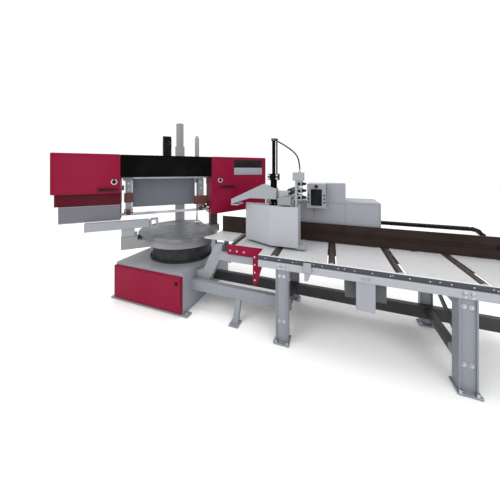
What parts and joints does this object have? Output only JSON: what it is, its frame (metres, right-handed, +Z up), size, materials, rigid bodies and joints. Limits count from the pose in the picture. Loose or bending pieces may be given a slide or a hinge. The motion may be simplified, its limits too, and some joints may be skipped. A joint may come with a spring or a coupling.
{
  "type": "horizontal mitre band saw",
  "caption": "Horizontal band saw whose head swings on a turntable base to cut mitres, with a roller infeed table, slotted side guide and a gripper feed carriage.",
  "frame": {"origin": "on the floor under the swivel axis of the saw head, at the underside of the base pan", "axes": "+X along the roller table towards the infeed end, +Y away from the operator, +Z up"},
  "size_m": [4.5327, 2.2041, 2.4],
  "materials": {
    "base_blue_grey": "satin enamel",
    "crimson_enamel": "satin enamel",
    "dark_steel": "machined and oiled",
    "black_enamel": "satin enamel",
    "light_grey": "satin enamel",
    "mid_grey": "satin enamel",
    "bright_steel": "ground",
    "hard_chrome": "polished",
    "band_steel": "rolled",
    "cast_grey": "painted casting",
    "brown_roller": "browned",
    "plate_white": "satin enamel",
    "rust_brown": "browned",
    "black_plastic": "moulded",
    "guide_brown": "satin enamel",
    "black_rubber": "smooth"
  },
  "bodies": {
    "machine_frame": {"floor_pan": "base_blue_grey", "base_case": "light_grey", "bearing_drum": "cast_grey", "hose_mast": "mid_grey", "lead_plate": "plate_white", "side_bracket": "crimson_enamel", "lead_frame": "light_grey", "legs": "base_blue_grey", "leg_braces": "base_blue_grey", "front_rail": "plate_white", "rear_rail": "plate_white", "cross_members": "light_grey", "cover_plates": "plate_white", "rail_fittings": "light_grey", "side_guide": "rust_brown", "feed_beam": "base_blue_grey"},
    "base_cover": {"base_cover": "crimson_enamel"},
    "swivel": {"swivel_carrier": "dark_steel", "turntable": "dark_steel", "lift_column": "mid_grey", "lift_rod": "hard_chrome", "splash_guard": "base_blue_grey", "vise_arm": "light_grey"},
    "vise_jaw": {"vise_ram": "light_grey"},
    "saw_head": {"head_casting": "black_enamel", "left_case": "crimson_enamel", "right_case": "crimson_enamel", "idler_trough": "light_grey", "bridge_cover": "black_enamel", "drive_unit": "mid_grey", "tension_cylinder": "mid_grey", "saw_band": "band_steel", "guide_rail": "bright_steel", "right_guide": "guide_brown", "lift_cylinder": "light_grey", "lift_chain": "black_plastic"},
    "left_door": {"left_door": "crimson_enamel"},
    "right_door": {"right_door": "crimson_enamel"},
    "left_latch": {"left_latch": "black_plastic"},
    "right_latch": {"right_latch": "black_plastic"},
    "drive_wheel": {"drive_wheel": "cast_grey"},
    "tension_slide": {"tension_slide": "dark_steel"},
    "idler_wheel": {"idler_wheel": "cast_grey"},
    "left_guide": {"left_guide": "guide_brown"},
    "chip_brush": {"chip_brush": "black_plastic"},
    "feed_carriage": {"feed_carriage": "mid_grey", "gripper_housing": "light_grey", "control_box": "light_grey", "jaw_cylinder": "bright_steel", "feed_chain": "black_plastic"},
    "front_jaw": {"front_jaw": "light_grey", "clamp_post": "black_enamel", "valve_manifold": "bright_steel", "clamp_hose": "black_rubber"},
    "hold_down": {"hold_down_arm": "light_grey"},
    "roller_1": {"roller_1": "brown_roller"},
    "roller_2": {"roller_2": "brown_roller"},
    "roller_3": {"roller_3": "brown_roller"},
    "roller_4": {"roller_4": "brown_roller"},
    "roller_5": {"roller_5": "brown_roller"}
  },
  "joints": [
    {"name": "cover_swing", "type": "hinge", "parent": "machine_frame", "child": "base_cover", "pos_m": [-0.578, -0.591, 0.2], "axis": [0, 0, 1], "range_deg": [-100, 0]},
    {"name": "mitre_swivel", "type": "hinge", "parent": "machine_frame", "child": "swivel", "pos_m": [0, 0, 0.7], "axis": [0, 0, 1], "range_deg": [0, 45]},
    {"name": "vise_slide", "type": "slide", "parent": "swivel", "child": "vise_jaw", "axis": [0.7071, 0.7071, 0], "range_m": [0, 0.2]},
    {"name": "head_lift", "type": "slide", "parent": "swivel", "child": "saw_head", "axis": [0, 0, 1], "range_m": [-0.23, 0.12]},
    {"name": "left_door_swing", "type": "hinge", "parent": "saw_head", "child": "left_door", "pos_m": [-0.92985, -1.12218, 1.6], "axis": [0, 0, 1], "range_deg": [-110, 0]},
    {"name": "right_door_swing", "type": "hinge", "parent": "saw_head", "child": "right_door", "pos_m": [0.96308, 0.77075, 1.6], "axis": [0, 0, 1], "range_deg": [0, 52]},
    {"name": "left_latch_turn", "type": "hinge", "parent": "left_door", "child": "left_latch", "pos_m": [-0.44689, -0.72973, 1.47], "axis": [-0.7071, 0.7071, 0], "range_deg": [0, 90]},
    {"name": "right_latch_turn", "type": "hinge", "parent": "right_door", "child": "right_latch", "pos_m": [0.4879, 0.20506, 1.47], "axis": [-0.7071, 0.7071, 0], "range_deg": [0, 90]},
    {"name": "drive_spin", "type": "hinge", "parent": "saw_head", "child": "drive_wheel", "pos_m": [0.61377, 0.61377, 1.375], "axis": [-0.7071, 0.7071, 0], "continuous": true},
    {"name": "band_tension", "type": "slide", "parent": "saw_head", "child": "tension_slide", "axis": [0.7071, 0.7071, 0], "range_m": [0, 0.008]},
    {"name": "idler_spin", "type": "hinge", "parent": "tension_slide", "child": "idler_wheel", "pos_m": [-0.77428, -0.77428, 1.375], "axis": [-0.7071, 0.7071, 0], "continuous": true},
    {"name": "guide_slide", "type": "slide", "parent": "saw_head", "child": "left_guide", "axis": [0.7071, 0.7071, 0], "range_m": [0, 0.35]},
    {"name": "brush_spin", "type": "hinge", "parent": "saw_head", "child": "chip_brush", "pos_m": [0.18243, 0.26729, 1.078], "axis": [-0.7071, 0.7071, 0], "continuous": true},
    {"name": "carriage_feed", "type": "slide", "parent": "machine_frame", "child": "feed_carriage", "axis": [1, 0, 0], "range_m": [-0.5, 0.3]},
    {"name": "jaw_close", "type": "slide", "parent": "feed_carriage", "child": "front_jaw", "axis": [0, 1, 0], "range_m": [-0.1, 0.19]},
    {"name": "hold_down_stroke", "type": "slide", "parent": "front_jaw", "child": "hold_down", "axis": [0, 0, 1], "range_m": [-0.035, 0.06]},
    {"name": "roller_1_spin", "type": "hinge", "parent": "machine_frame", "child": "roller_1", "pos_m": [0.93, -0.165, 0.77], "axis": [0, 1, 0], "continuous": true},
    {"name": "roller_2_spin", "type": "hinge", "parent": "machine_frame", "child": "roller_2", "pos_m": [1.44, -0.165, 0.77], "axis": [0, 1, 0], "continuous": true},
    {"name": "roller_3_spin", "type": "hinge", "parent": "machine_frame", "child": "roller_3", "pos_m": [1.95, -0.165, 0.77], "axis": [0, 1, 0], "continuous": true},
    {"name": "roller_4_spin", "type": "hinge", "parent": "machine_frame", "child": "roller_4", "pos_m": [2.46, -0.165, 0.77], "axis": [0, 1, 0], "continuous": true},
    {"name": "roller_5_spin", "type": "hinge", "parent": "machine_frame", "child": "roller_5", "pos_m": [2.97, -0.165, 0.77], "axis": [0, 1, 0], "continuous": true}
  ],
  "couplings": [
    {"joint": "idler_spin", "follows": "drive_spin", "ratio": 1},
    {"joint": "brush_spin", "follows": "drive_spin", "ratio": 4}
  ]
}
